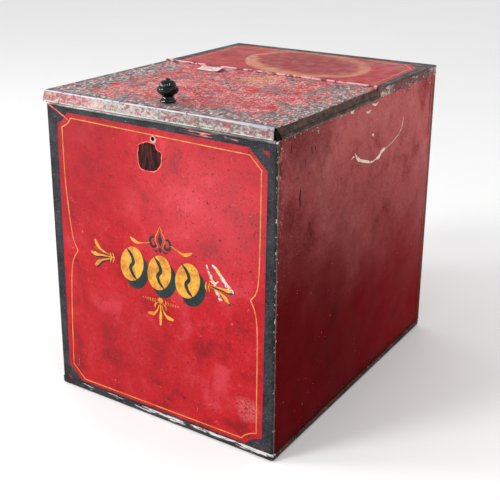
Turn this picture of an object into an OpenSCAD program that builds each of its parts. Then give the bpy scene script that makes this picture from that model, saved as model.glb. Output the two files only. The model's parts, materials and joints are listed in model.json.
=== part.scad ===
// Hinged-lid counter bin of painted sheet tin.
// Frame: origin at the middle of the base's underside, +Z up, front face towards -Y.

/* [Body] */
// Width across the side panels
body_w = 356; // [300:1:420]
// Depth from the front panel's face to the back panel's face
body_d = 457; // [420:1:520]
// Height of the fixed top and of the closed lid above the surface it stands on
body_h = 432; // [360:1:500]
// Thickness of the tin sheet
sheet_t = 0.8; // [0.6:0.1:0.9]
// Width of the soldered laps at the front corners
front_lap = 10; // [8:1:14]
// Width of the seam that the back panel folds round onto each side
back_seam = 6; // [4:1:10]
// Height of the base pan's turned-up flange
base_flange_h = 10.5; // [8:0.5:14]
// Depth of the fixed top's turned-down flanges
top_flange_h = 14; // [10:1:18]

/* [Mouth] */
// Distance from the front face back to the hinge axis
lid_run = 256; // [230:1:270]
// How far the mouth's rim lies below the lid's top
rim_drop = 16; // [15:1:20]
// Diameter of the wire inside the front rim
rim_wire_d = 2.2; // [2:0.1:2.6]
// Height of the collar strips inside the mouth
collar_h = 25; // [22:1:30]

/* [Lid] */
// How far each upper side fold of the lid lies inside the side panel's face
lid_inset = 0.3; // [0:0.1:0.3]
// How far the lid's front fold stands in front of the front face
lid_front = 2.1; // [2:0.1:3]
// Depth of the lid's skirts
skirt_h = 15; // [12:0.5:15]
// How far the front skirt flares outward
front_flare = 2.4; // [2.2:0.1:3]
// How far the side skirts flare outward
side_flare = 4.5; // [4:0.1:6]
// Width of the open notch at the front right corner
corner_notch = 3.5; // [2.5:0.5:8]

/* [Hinge] */
// Diameter of the hinge wire
hinge_wire_d = 2; // [2:0.1:2.2]
// Radial clearance of the lid's roll on the wire
hinge_clear = 0.05; // [0.02:0.01:0.08]
// Wall of the lid's roll and of the straps round the wire
roll_t = 0.7; // [0.7:0.1:0.8]
// Width of each hinge strap
strap_w = 46; // [30:1:60]
// Distance of each strap's middle from the centre line
strap_x = 100; // [60:1:110]
// Length of each strap's tail along the fixed top
strap_tail = 13; // [8:1:20]

/* [Knob] */
// Height of the knob
knob_h = 30; // [26:1:34]
// Diameter of the knob's bulb
knob_d = 27; // [24:1:32]
// Distance of the knob's axis behind the front face
knob_back = 32; // [28:1:44]
// Diameter of the knob's screw
screw_d = 4; // [3.5:0.1:4.5]

/* [Hasp hole] */
// Diameter of the empty hole in the front panel
hole_d = 5.5; // [4:0.5:8]
// Height of that hole above the base
hole_z = 392; // [330:1:398]

/* [Hidden] */
$fn = 64;
half_w = body_w / 2;
half_d = body_d / 2;
// Gap left between two soldered sheets
lap_gap = 0.1;
floor_top = sheet_t + lap_gap;
rim_z = body_h - rim_drop;
sheet_under = body_h - sheet_t;
// How far the rolls and their wires stop short of each side
roll_end_gap = 2;
// Front panel: corner bend, and the roll round the rim wire, which sinks a little into the face
bend_r = 2.4;
side_front_y = -half_d + bend_r + 0.2;
rim_r = rim_wire_d / 2;
rim_roll_r = rim_r + sheet_t;
rim_roll_sink = 0.03;
rim_roll_y = -half_d + sheet_t - rim_roll_r + rim_roll_sink;
rim_roll_z = rim_z - 1;
rim_roll_len = body_w - 2 * roll_end_gap;
// Mouth collar strips, which stop just below the lid's sheet
collar_lid_gap = 0.3;
collar_top = sheet_under - collar_lid_gap;
collar_x = half_w - 2 * sheet_t - lap_gap;
collar_y = -half_d + sheet_t + lap_gap;
// Hinge: the axis lies just above the lid's sheet, which curls up and over the wire
hinge_y = -half_d + lid_run;
collar_back = hinge_y - 2.5;
wire_r = hinge_wire_d / 2;
lid_roll_r = wire_r + hinge_clear + roll_t;
strap_r = wire_r + roll_t;
lid_roll_sink = 0.05;
hinge_z = sheet_under + lid_roll_r - lid_roll_sink;
hinge_len = body_w - 2 * roll_end_gap;
hinge_wire_len = hinge_len + 1;
notch_w = strap_w + 2;
// Fixed top: its edge clears the lid's roll, and a lip turned down there stiffens it
rear_edge_gap = 0.45;
rear_edge_y = hinge_y + lid_roll_r + rear_edge_gap;
rear_lip_h = 9;
// Lid
lid_half = half_w - lid_inset;
lid_front_y = -half_d - lid_front;
lid_z = body_h - skirt_h;
side_skirt_back = hinge_y - 4;
knob_y = -half_d + knob_back;
screw_r = screw_d / 2;
washer_r = 6;
washer_t = 0.8;
screw_head_r = 3.8;
screw_head_h = 2.4;
screw_slot_w = 1;
screw_slot_h = 1.1;
screw_grip = 14;
// Extra length of a cutting shape past the face that it opens
cut = 1;
paint_red = "firebrick";
paint_worn = "indianred";
tin_grey = "darkgray";

// A box between its lowest and highest corners
module box_between(low, high) {
  translate(low) cube(high - low);
}

// Rounded rectangle, w by d, centred, with corner radius r
module rounded_rect(w, d, r) {
  square([w - 2 * r, d], center = true);
  square([w, d - 2 * r], center = true);
  for (sx = [-1, 1], sy = [-1, 1])
    translate([sx * (w / 2 - r), sy * (d / 2 - r)]) circle(r = r);
}

// A round bar or a bore along X, centred on the middle plane
module bar_x(r, length, y, z) {
  translate([-length / 2, y, z]) rotate([0, 90, 0]) cylinder(r = r, h = length);
}

// A flat outline given in (y, z), t thick along X from x0 upward
module side_sheet(points, x0, t) {
  translate([x0, 0, 0]) rotate([90, 0, 90]) linear_extrude(t) polygon(points);
}

// A flat outline given in (x, z), running along Y from y0 to y1
module along_y(points, y0, y1) {
  translate([0, y1, 0]) rotate([90, 0, 0]) linear_extrude(y1 - y0) polygon(points);
}

// Front panel: face, soldered laps behind the side panels, and the rolled top rim
module front_panel() {
  color(paint_red) difference() {
    union() {
      translate([0, 0, floor_top]) linear_extrude(rim_roll_z - floor_top)
        difference() {
          rounded_rect(body_w - 2 * sheet_t, body_d, bend_r);
          rounded_rect(body_w - 4 * sheet_t, body_d - 2 * sheet_t, bend_r - sheet_t);
          translate([-body_w, -half_d + front_lap]) square([2 * body_w, 2 * body_d]);
        }
      bar_x(rim_roll_r, rim_roll_len, rim_roll_y, rim_roll_z);
    }
    bar_x(rim_r, body_w, rim_roll_y, rim_roll_z);
    translate([0, -half_d - cut, hole_z]) rotate([-90, 0, 0])
      cylinder(d = hole_d, h = sheet_t + 2 * cut);
  }
}

// Wire inside the front rim's roll
module rim_wire() {
  color(tin_grey) bar_x(rim_r, rim_roll_len, rim_roll_y, rim_roll_z);
}

// Outline of a side panel: low along the mouth, full height under the fixed top
function side_outline() = [
  [side_front_y, floor_top],
  [half_d - sheet_t - lap_gap, floor_top],
  [half_d - sheet_t - lap_gap, sheet_under - lap_gap],
  [hinge_y + 1, sheet_under - lap_gap],
  [hinge_y + 1, rim_z],
  [side_front_y, rim_z]
];

module left_side_panel() {
  color(paint_red) side_sheet(side_outline(), -half_w, sheet_t);
}

module right_side_panel() {
  color(paint_red) side_sheet(side_outline(), half_w - sheet_t, sheet_t);
}

// Back panel: its edges fold round onto the side panels as two seams
module back_panel() {
  seam_low = base_flange_h + 0.5;
  seam_high = body_h - top_flange_h - 0.5;
  color(paint_red) {
    box_between([-half_w, half_d - sheet_t, floor_top], [half_w, half_d, sheet_under - lap_gap]);
    for (side = [-1, 1])
      translate([side * (half_w + sheet_t / 2), half_d - back_seam / 2, (seam_low + seam_high) / 2])
        cube([sheet_t, back_seam, seam_high - seam_low], center = true);
  }
}

// Base pan: floor and a flange turned up outside the walls
module base_pan() {
  pan_w = body_w + 2 * (lap_gap + sheet_t);
  pan_d = body_d + 2 * (lap_gap + sheet_t);
  color("dimgray") difference() {
    linear_extrude(base_flange_h) rounded_rect(pan_w, pan_d, 1);
    translate([0, 0, sheet_t]) linear_extrude(base_flange_h)
      rounded_rect(pan_w - 2 * sheet_t, pan_d - 2 * sheet_t, 0.2);
  }
}

// Fixed rear top: sheet, flanges outside the side and back panels, and a stiffening lip at the hinge
module rear_top() {
  out_x = half_w + lap_gap + sheet_t;
  out_y = half_d + lap_gap + sheet_t;
  flange_z = body_h - top_flange_h;
  color(paint_red) {
    box_between([-out_x, rear_edge_y, sheet_under], [out_x, out_y, body_h]);
    box_between([-out_x, rear_edge_y, flange_z], [-out_x + sheet_t, out_y, body_h]);
    box_between([out_x - sheet_t, rear_edge_y, flange_z], [out_x, out_y, body_h]);
    box_between([-out_x, out_y - sheet_t, flange_z], [out_x, out_y, body_h]);
    box_between([-collar_x, rear_edge_y, body_h - rear_lip_h],
      [collar_x, rear_edge_y + sheet_t, body_h]);
  }
}

// Collar strips soldered inside the mouth, standing above its rim to carry the lid
module front_collar() {
  color(tin_grey) box_between([-collar_x + sheet_t + lap_gap, collar_y, collar_top - collar_h],
    [collar_x - sheet_t - lap_gap, collar_y + sheet_t, collar_top]);
}

module side_collar(x0) {
  color(tin_grey) box_between([x0, collar_y, collar_top - collar_h],
    [x0 + sheet_t, collar_back, collar_top]);
}

module left_collar() {
  side_collar(-collar_x);
}

module right_collar() {
  side_collar(collar_x - sheet_t);
}

// Solder beads up the inside of the four corners
module seam_solder() {
  bead = 3;
  low = floor_top + 2.5;
  color("silver") for (side = [0, 1]) mirror([side, 0, 0]) {
    translate([half_w - sheet_t, -half_d + front_lap, low])
      linear_extrude(collar_top - collar_h - low - 0.5)
        polygon([[0, 0], [0, bead], [-sheet_t, 0]]);
    translate([half_w - sheet_t, half_d - sheet_t - lap_gap, low])
      linear_extrude(sheet_under - lap_gap - low)
        polygon([[0, 0], [0, -bead], [-bead, 0]]);
  }
}

// Solder fillet round the floor, inside the walls
module base_solder() {
  bead = 2;
  in_x = half_w - 2 * sheet_t;
  in_y = half_d - sheet_t - lap_gap;
  color("silver") for (side = [-1, 1]) {
    along_y([[side * in_x, sheet_t], [side * (in_x - bead), sheet_t], [side * in_x, sheet_t + bead]],
      -in_y, in_y);
    side_sheet([[side * in_y, sheet_t], [side * (in_y - bead), sheet_t], [side * in_y, sheet_t + bead]],
      -in_x, 2 * in_x);
  }
}

// Hinge wire, held by the two straps
module hinge_wire() {
  color(tin_grey) bar_x(wire_r, hinge_wire_len, hinge_y, hinge_z);
}

// One painted strap: an eye round the wire, and a tail soldered on the fixed top
module hinge_strap(x) {
  color(paint_worn) translate([x, 0, 0]) difference() {
    union() {
      bar_x(strap_r, strap_w, hinge_y, hinge_z);
      box_between([-strap_w / 2, hinge_y, body_h], [strap_w / 2, hinge_y + strap_tail, body_h + roll_t]);
    }
    bar_x(wire_r, strap_w + 2 * cut, hinge_y, hinge_z);
  }
}

module left_hinge_strap() {
  hinge_strap(-strap_x);
}

module right_hinge_strap() {
  hinge_strap(strap_x);
}

// A side skirt: its sheet leans outward as it goes down
module side_skirt(side) {
  along_y([
      [side * lid_half, body_h],
      [side * (lid_half + side_flare), lid_z],
      [side * (lid_half + side_flare - sheet_t), lid_z],
      [side * (lid_half - sheet_t), body_h]
    ], lid_front_y + 0.6, side_skirt_back);
}

// The lid's front skirt, stopping short at the open right corner
module front_skirt() {
  side_sheet([
      [lid_front_y, body_h],
      [lid_front_y - front_flare, lid_z],
      [lid_front_y - front_flare + sheet_t, lid_z],
      [lid_front_y + sheet_t, body_h]
    ], -lid_half, 2 * lid_half - corner_notch);
}

// Lid: one sheet with three skirts and a rear edge rolled round the hinge wire
module lid_pan() {
  color(paint_worn) difference() {
    union() {
      box_between([-lid_half, lid_front_y, sheet_under], [lid_half, hinge_y, body_h]);
      front_skirt();
      side_skirt(-1);
      side_skirt(1);
      bar_x(lid_roll_r, hinge_len, hinge_y, hinge_z);
    }
    bar_x(wire_r + hinge_clear, hinge_len + 2 * cut, hinge_y, hinge_z);
    for (side = [-1, 1])
      translate([side * strap_x, hinge_y, hinge_z])
        cube([notch_w, 2 * (lid_roll_r + cut), 6], center = true);
    translate([0, knob_y, body_h - 5]) cylinder(r = screw_r + 0.15, h = 10);
  }
}

// Radius of the knob at the share s of its height: foot, waist, bowl, shoulder, dome and button
function knob_r(s) =
  s < 0.04 ? 0.375 * knob_d :
  s < 0.25 ? (0.255 + 0.060 * (1 + cos((s - 0.04) / 0.21 * 180))) * knob_d :
  s < 0.50 ? (0.255 + 0.245 * pow(sin((s - 0.25) / 0.25 * 90), 1.2)) * knob_d :
  s < 0.58 ? 0.5 * knob_d :
  s < 0.69 ? (0.5 - 0.11 * pow((s - 0.58) / 0.11, 1.6)) * knob_d :
  s < 0.92 ? 0.385 * knob_d * sqrt(1 - pow((s - 0.69) / 0.245, 2)) :
  0.13 * knob_d * sqrt(1 - pow((s - 0.92) / 0.08, 2));

// Turned knob, bored for its screw
module knob() {
  steps = 40;
  outline = [for (i = [0:steps]) [max(0.01, knob_r(i / steps)), knob_h * i / steps]];
  color("black") translate([0, knob_y, body_h]) difference() {
    rotate_extrude() polygon(concat([[0, 0]], outline, [[0, knob_h]]));
    translate([0, 0, -cut]) cylinder(r = screw_r, h = screw_grip + cut + 0.2);
  }
}

module knob_washer() {
  color("silver") translate([0, knob_y, sheet_under - washer_t]) difference() {
    cylinder(r = washer_r, h = washer_t);
    translate([0, 0, -cut]) cylinder(r = screw_r + 0.1, h = washer_t + 2 * cut);
  }
}

// Slotted screw, driven up through the lid into the knob
module knob_screw() {
  head_z = sheet_under - washer_t - screw_head_h;
  color("gray") translate([0, knob_y, head_z]) difference() {
    union() {
      cylinder(r = screw_head_r, h = screw_head_h);
      cylinder(r = screw_r, h = screw_head_h + washer_t + sheet_t + screw_grip - 1);
    }
    translate([-screw_head_r - cut, -screw_slot_w / 2, -cut])
      cube([2 * (screw_head_r + cut), screw_slot_w, screw_slot_h + cut]);
  }
}

front_panel();
left_side_panel();
right_side_panel();
back_panel();
base_pan();
rear_top();
front_collar();
left_collar();
right_collar();
rim_wire();
seam_solder();
base_solder();
hinge_wire();
left_hinge_strap();
right_hinge_strap();
lid_pan();
knob();
knob_washer();
knob_screw();
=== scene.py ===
"""Looks of the hinged-lid counter bin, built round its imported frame.

Lengths are millimetres in the frame's axes until a mesh is made. The front is -Y and up is +Z.
"""
import json
import math

import bmesh
import bpy
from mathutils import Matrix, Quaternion, Vector, noise


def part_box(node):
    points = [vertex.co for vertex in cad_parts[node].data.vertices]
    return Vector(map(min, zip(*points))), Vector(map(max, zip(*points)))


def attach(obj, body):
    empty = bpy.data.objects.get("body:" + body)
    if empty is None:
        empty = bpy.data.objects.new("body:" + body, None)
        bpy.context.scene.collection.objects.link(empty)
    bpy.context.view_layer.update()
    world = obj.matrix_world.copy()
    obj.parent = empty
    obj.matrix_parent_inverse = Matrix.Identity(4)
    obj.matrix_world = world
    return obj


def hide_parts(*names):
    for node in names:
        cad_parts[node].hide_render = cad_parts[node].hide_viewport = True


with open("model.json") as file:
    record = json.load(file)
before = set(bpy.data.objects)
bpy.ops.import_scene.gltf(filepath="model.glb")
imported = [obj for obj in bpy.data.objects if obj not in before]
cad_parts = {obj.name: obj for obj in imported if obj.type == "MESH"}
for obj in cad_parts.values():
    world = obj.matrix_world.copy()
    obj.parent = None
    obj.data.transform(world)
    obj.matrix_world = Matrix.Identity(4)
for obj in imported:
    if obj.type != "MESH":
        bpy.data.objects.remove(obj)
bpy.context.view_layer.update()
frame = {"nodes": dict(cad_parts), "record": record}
MM = 0.001


def box_mm(node):
    """Lowest and highest corner of a CAD node, in millimetres."""
    low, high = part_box(node)
    return low / MM, high / MM


# ---------------------------------------------------------------- sizes taken from the frame
side_low, side_high = box_mm("left_side_panel")
HALF_W = -side_low.x
SHEET = side_high.x - side_low.x
HALF_D = box_mm("back_panel")[1].y
rear_low, rear_high = box_mm("rear_top")
TOP_Z = rear_high.z
REAR_EDGE = rear_low.y
OUT_X = rear_high.x
OUT_Y = rear_high.y
FLANGE_Z = rear_low.z
BASE_H = box_mm("base_pan")[1].z
lid_low, lid_high = box_mm("lid_pan")
wire_low, wire_high = box_mm("hinge_wire")
HINGE_Y = (wire_low.y + wire_high.y) / 2
HINGE_Z = (wire_low.z + wire_high.z) / 2
WIRE_R = (wire_high.z - wire_low.z) / 2
strap_low, strap_high = box_mm("right_hinge_strap")
STRAP_X = (strap_low.x + strap_high.x) / 2
NOTCH_HALF = (strap_high.x - strap_low.x) / 2 + 1
# Outer radius of the roll round the rim wire, which no box gives
RIM_ROLL_R = 1.9
RIM_WIRE_R = RIM_ROLL_R - SHEET
face_low, face_high = box_mm("front_panel")
RIM_Y = face_low.y + RIM_ROLL_R
RIM_ROLL_Z = face_high.z - RIM_ROLL_R
RIM_Z = RIM_ROLL_Z + 1
LAP_END = face_high.y
knob_low, knob_high = box_mm("knob")
KNOB_Y = (knob_low.y + knob_high.y) / 2
KNOB_H = knob_high.z - knob_low.z
KNOB_D = knob_high.x - knob_low.x
hole_mount = next(m for m in frame["record"]["mounts"] if m["name"] == "hasp_hole")
HOLE_Z = hole_mount["pos_m"][2] / MM
HOLE_R = hole_mount["dims"]["r_mm"]

# Sizes that the frame's boxes don't give: a sheet's grid, its bends, folds and edges, the lid
CELL = 8.0
FRONT_BEND = 2.4
FOLD_R = 1.2
BASE_FOLD_R = 4.0
HEM_R = 0.9
HEM_DEPTH = 4.5
SEAM = 6.0
REAR_LIP = 9.0
WALL_FOOT = 5.0
LID_HALF_W = 177.7
LID_FRONT_GAP = 2.1
CORNER_NOTCH = 0.8
WIRE_GAP = 0.05
# Rows of a sheet's grid from this number up are turns of its curled edge
CURL = 1000
# A painted layer's thickness for one coat, how deep it sinks in, and how far apart it is cut
PAINT_T = 0.12
PAINT_SINK = 0.06
PAINT_CELL = 9.0

# ---------------------------------------------------------------- shape helpers


def ripple(a, b, size, seed):
    """Smooth unevenness between -1 and 1, with waves about that size."""
    return noise.noise(Vector((a / size, b / size, seed)))


def ease(t):
    """0 below 0 and 1 above 1, with a smooth rise between."""
    t = min(1.0, max(0.0, t))
    return t * t * (3 - 2 * t)


def fade(value, low, high, margin):
    """1 inside low..high, falling to 0 at both ends over the margin."""
    return ease((value - low) / margin) * ease((high - value) / margin)


def steps(low, high, size, extra=()):
    """Even stations from low to high about size apart, with extra ones added."""
    count = max(1, round((high - low) / size))
    found = [low + (high - low) * i / count for i in range(count + 1)]
    return sorted(set(round(v, 4) for v in [*found, *(e for e in extra if low < e < high)]))


def arc(start, end, count):
    """Angles in radians from start to end degrees."""
    return [math.radians(start + (end - start) * i / count) for i in range(count + 1)]


def round_points(x, y, radius, angles):
    """Points round a centre at those angles, counted from the first axis."""
    return [(x + radius * math.cos(a), y + radius * math.sin(a)) for a in angles]


def smooth(points, per_span=8):
    """Points of a Catmull-Rom curve through the given ones."""
    ends = [points[0], *points, points[-1]]
    curve = []
    for a, b, c, d in zip(ends, ends[1:], ends[2:], ends[3:]):
        for i in range(per_span):
            t = i / per_span
            curve.append(tuple(
                0.5 * (2 * q + (r - p) * t + (2 * p - 5 * q + 4 * r - s) * t * t
                       + (3 * q - p - 3 * r + s) * t ** 3)
                for p, q, r, s in zip(a, b, c, d)))
    return [*curve, tuple(points[-1])]


def linked(name, data):
    """A new object in the scene that shows the data."""
    obj = bpy.data.objects.new(name, data)
    bpy.context.scene.collection.objects.link(obj)
    return obj


def solid_of(obj):
    """Removes a work object, and keeps its mesh with the modifiers applied."""
    ready = obj.evaluated_get(bpy.context.evaluated_depsgraph_get())
    mesh = bpy.data.meshes.new_from_object(ready)
    bpy.data.objects.remove(obj)
    return mesh


def mesh_of(bm, materials=()):
    """Ends a work mesh and returns it as a plain one."""
    mesh = bpy.data.meshes.new("work")
    bm.to_mesh(mesh)
    bm.free()
    for material in materials:
        mesh.materials.append(material)
    return mesh


def grid(us, vs, point, skip=None, slot=None, flip=False, bm=None):
    """A face for each cell of us by vs. point(u, v) gives a place in millimetres.

    skip(u, v) leaves a cell out, slot(u, v) picks its material, and bm is a mesh to add to.
    """
    bm = bm or bmesh.new()
    made = {}

    def corner_vert(i, j):
        if (i, j) not in made:
            made[i, j] = bm.verts.new(Vector(point(us[i], vs[j])) * MM)
        return made[i, j]

    for i in range(len(us) - 1):
        for j in range(len(vs) - 1):
            u, v = (us[i] + us[i + 1]) / 2, (vs[j] + vs[j + 1]) / 2
            if skip and skip(u, v):
                continue
            ring = [corner_vert(*at) for at in ((i, j), (i + 1, j), (i + 1, j + 1), (i, j + 1))]
            face = bm.faces.new(ring[::-1] if flip else ring)
            if slot:
                face.material_index = slot(u, v)
    return bm


def piece(name, mesh, body, replaced=()):
    """Puts a finished mesh in the scene, riding on its body."""
    mesh.name = name
    obj = linked(name, mesh)
    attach(obj, body)
    if replaced:
        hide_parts(*replaced)


def formed(bm, materials, thickness=0.0, second=0, rim=0, crisp=35, hole=None):
    """Welds, thickens inward from the outer surface, and turns it into a mesh with crisp edges.

    second and rim say how many places further the inner faces' and the edges' materials are.
    """
    bmesh.ops.remove_doubles(bm, verts=bm.verts, dist=0.02 * MM)
    flat = [f for f in bm.faces if f.calc_area() < 1e-12]
    bmesh.ops.delete(bm, geom=flat, context="FACES")
    mesh = mesh_of(bm, materials)
    if thickness:
        obj = linked("work", mesh)
        shell = obj.modifiers.new("shell", "SOLIDIFY")
        shell.thickness = thickness * MM
        shell.offset = -1
        shell.use_even_offset = True
        shell.material_offset = second
        shell.material_offset_rim = rim
        if hole:
            cut = obj.modifiers.new("hole", "BOOLEAN")
            cut.object = hole
            cut.solver = "EXACT"
        flat_mesh, mesh = mesh, solid_of(obj)
        bpy.data.meshes.remove(flat_mesh)
    mesh.polygons.foreach_set("use_smooth", [True] * len(mesh.polygons))
    mesh.set_sharp_from_angle(angle=math.radians(crisp))
    return mesh


# ---------------------------------------------------------------- material helpers


def srgb(*values):
    """Linear colour of 8-bit sRGB values."""
    shares = [value / 255 for value in values]
    return (*(s / 12.92 if s <= 0.04045 else ((s + 0.055) / 1.055) ** 2.4 for s in shares), 1.0)


class Finish:
    """One material's node tree, with a short call for each kind of node.

    Sizes are millimetres. A plain colour is three 8-bit sRGB values. base is the colour so far.
    """

    def __init__(self, name, roughness=0.5, metallic=0.0, specular=0.5):
        self.material = bpy.data.materials.new(name)
        self.material.use_nodes = True
        self.tree = self.material.node_tree
        self.inputs = self.tree.nodes["Principled BSDF"].inputs
        self.inputs["Roughness"].default_value = roughness
        self.inputs["Metallic"].default_value = metallic
        self.inputs["Specular IOR Level"].default_value = specular
        self.place = self.node("ShaderNodeTexCoord").outputs["Object"]
        self.axes = self.node("ShaderNodeSeparateXYZ", {"Vector": self.place}).outputs
        self.base = None

    def node(self, kind, inputs=None, **settings):
        made = self.tree.nodes.new(kind)
        for key, value in settings.items():
            setattr(made, key, value)
        for key, value in (inputs or {}).items():
            self.feed(made.inputs[key], value)
        return made

    def feed(self, socket, value):
        if isinstance(value, bpy.types.NodeSocket):
            self.tree.links.new(value, socket)
        else:
            socket.default_value = srgb(*value) if socket.type == "RGBA" else value

    def calc(self, operation, first, second, kind="ShaderNodeMath"):
        return self.node(kind, {0: first, 1: second}, operation=operation).outputs[0]

    def add(self, first, second):
        return self.calc("ADD", first, second)

    def both(self, first, *others):
        for other in others:
            first = self.calc("MULTIPLY", first, other)
        return first

    def either(self, first, *others):
        for other in others:
            first = self.calc("MAXIMUM", first, other)
        return first

    def less(self, first, second):
        """The first mask where the second is absent."""
        return self.both(first, self.calc("SUBTRACT", 1.0, second))

    def swing(self, value, width):
        """A noise spread over that width about 0."""
        return self.both(self.calc("SUBTRACT", value, 0.5), width)

    def noise(self, size, detail=3.0, rough=0.55, stretch=(1, 1, 1), seed=0.0, swirl=0.0):
        """Noise with features about that size. stretch above 1 lengthens them along an axis."""
        spread = self.node("ShaderNodeMapping", {"Vector": self.place,
                                                 "Scale": [1 / (MM * size * s) for s in stretch],
                                                 "Location": (seed, seed * 1.7, seed * 0.6)})
        return self.node("ShaderNodeTexNoise", {"Vector": spread.outputs[0], "Scale": 1.0,
                                                "Detail": detail, "Roughness": rough,
                                                "Distortion": swirl}).outputs["Fac"]

    def ramp(self, value, low, high, low_out=0.0, high_out=1.0):
        """Smooth rise as value goes from low to high."""
        ends = {"Value": value, "From Min": low, "From Max": high, "To Min": low_out,
                "To Max": high_out}
        return self.node("ShaderNodeMapRange", ends, interpolation_type="SMOOTHSTEP").outputs[0]

    def spots(self, size, level, soft=0.03, detail=5, rough=0.7, **more):
        """Mask of the places where noise is above level."""
        return self.ramp(self.noise(size, detail, rough, **more), level, level + soft)

    def veins(self, size, width, detail=4, rough=0.6, **more):
        """Mask of thin wandering lines, where noise crosses its middle."""
        across = self.calc("SUBTRACT", self.noise(size, detail, rough, **more), 0.5)
        return self.ramp(self.calc("ABSOLUTE", across, 0.0), width, width * 0.3)

    def mm(self, axis):
        """The coordinate along an axis, in millimetres."""
        return self.both(self.axes[axis], 1 / MM)

    def along(self, axis, start, full, *ends):
        """Mask that rises from start to full along an axis."""
        return self.ramp(self.mm(axis), start, full, *ends)

    def outside(self, axis, start, full):
        """The same on both sides of the middle."""
        return self.either(self.along(axis, start, full), self.along(axis, -start, -full))

    def patch(self, centre, size, soft=0.4, ragged=0.0, grain=12.0, seed=5.0, turn=0.0):
        """Mask of an ellipsoid round centre with those half sizes and a ragged edge, turned about
        its vertical axis by that many degrees."""
        middle = [c * MM for c in centre]
        turned = self.node("ShaderNodeVectorRotate",
                           {"Vector": self.place, "Center": middle, "Angle": -math.radians(turn)},
                           rotation_type="Z_AXIS").outputs[0]
        offset = self.calc("SUBTRACT", turned, middle, "ShaderNodeVectorMath")
        ratio = self.calc("MULTIPLY", offset, [1 / (MM * s) for s in size], "ShaderNodeVectorMath")
        distance = self.node("ShaderNodeVectorMath", {0: ratio}, operation="LENGTH").outputs["Value"]
        if ragged:
            wobble = self.noise(grain, detail=4, seed=seed)
            distance = self.add(distance, self.swing(wobble, ragged))
        return self.ramp(distance, 1.0 + soft / 2, 1.0 - soft / 2)

    def mix(self, mask, first, second, amount=1.0):
        """The first colour where the mask is 0, and the second by that amount where it is 1."""
        mask = mask if amount == 1.0 else self.both(mask, amount)
        return self.node("ShaderNodeMix", {0: mask, 6: first, 7: second}, data_type="RGBA").outputs[2]

    def cover(self, mask, colour, amount=1.0):
        """Lays a colour over the base."""
        self.base = self.mix(mask, self.base, colour, amount)

    def rough(self, value, low, high):
        """Roughness from low to high as a noise rises."""
        self.feed(self.inputs["Roughness"], self.ramp(value, 0.3, 0.7, low, high))

    def metal(self, mask, bare, rusted):
        """Metallic share without and with the mask."""
        self.feed(self.inputs["Metallic"], self.ramp(mask, 0.0, 1.0, bare, rusted))

    def bump(self, *layers):
        """Each layer is a height from 0 to 1 and its depth in millimetres."""
        below = None
        for height, depth in layers:
            made = self.node("ShaderNodeBump", {"Height": height, "Distance": abs(depth) * MM,
                                                "Strength": 1.0}, invert=depth < 0)
            if below is not None:
                self.feed(made.inputs["Normal"], below)
            below = made.outputs["Normal"]
        self.feed(self.inputs["Normal"], below)

    def done(self, *layers):
        """The material, with its base colour and bumps linked."""
        self.feed(self.inputs["Base Color"], self.base)
        if layers:
            self.bump(*layers)
        return self.material


CREAM = (226, 212, 196)
RUST = (104, 58, 38)
REAR_REDS = ((128, 14, 24), (168, 24, 34), (178, 58, 64), 60)
# Centre and half sizes of the oval's outer and inner edge on the fixed top, and how it is turned
RING_OUTER = ((12, 128, TOP_Z), (112, 86, 60))
RING_INNER = ((10, 132, TOP_Z), (101, 65, 60))
RING_TURN = -28


def red_coat(f, deep, middle, faded, clouds_at=46):
    """Mottled red paint, the same wherever it shows through."""
    clouds = f.noise(clouds_at, detail=6, rough=0.62, seed=1.3, swirl=0.3)
    base = f.mix(f.ramp(clouds, 0.32, 0.5), deep, middle)
    base = f.mix(f.ramp(clouds, 0.5, 0.7), base, faded)
    stipple = f.noise(3.2, detail=4, rough=0.65, seed=5.7)
    base = f.mix(f.ramp(stipple, 0.5, 0.72, 0, 0.45), base, faded)
    base = f.mix(f.ramp(stipple, 0.46, 0.28, 0, 0.55), base, deep)
    dusk = f.spots(9, 0.54, 0.16, detail=6, seed=3.1)
    return f.mix(dusk, base, deep, 0.35)


def front_red(f):
    return red_coat(f, (134, 9, 19), (174, 15, 26), (190, 50, 60))


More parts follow.
